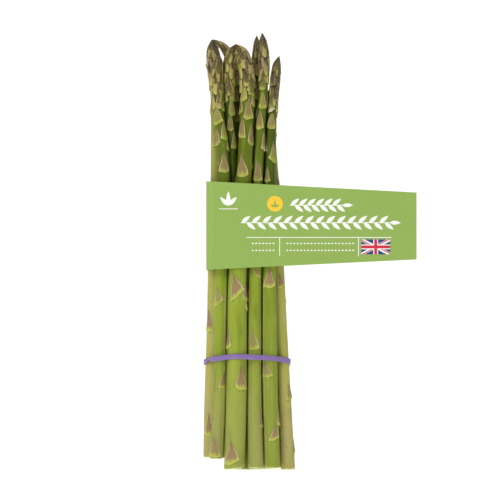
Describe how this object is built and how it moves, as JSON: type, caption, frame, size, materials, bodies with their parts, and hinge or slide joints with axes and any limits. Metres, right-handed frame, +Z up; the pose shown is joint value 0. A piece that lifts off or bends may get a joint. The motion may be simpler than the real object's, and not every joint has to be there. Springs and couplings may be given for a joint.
{
  "type": "bundle of asparagus",
  "caption": "Upright bundle of green asparagus spears held by a rubber band and a folded card wrap with a side flag, standing on its cut ends.",
  "frame": {"origin": "middle of the flat cut end of the spear nearest to the middle of the bundle", "axes": "+Z up along the spears to their tips, -Y the front where the card wrap is flat, +X to the right as seen from the front, the way the wrap's flag points"},
  "size_m": [0.1175, 0.0407, 0.2401],
  "materials": {
    "spear_green": "fresh plant skin, satin with a thin waxy bloom, mauve-brown scale leaves",
    "rubber": "matte purple",
    "card": "satin printed green, white thin rules, pale unprinted edges"
  },
  "bodies": {
    "root": {"spear_front_1": "spear_green", "spear_front_2": "spear_green", "spear_front_3": "spear_green", "spear_front_4": "spear_green", "spear_front_5": "spear_green", "spear_front_6": "spear_green", "spear_inner_1": "spear_green", "spear_inner_2": "spear_green", "spear_inner_3": "spear_green", "spear_back_1": "spear_green", "spear_back_2": "spear_green", "spear_back_3": "spear_green", "spear_back_4": "spear_green", "spear_back_5": "spear_green", "spear_back_6": "spear_green", "spear_back_7": "spear_green", "spear_back_8": "spear_green", "rubber_band": "rubber", "card_wrap": "card"}
  },
  "joints": []
}
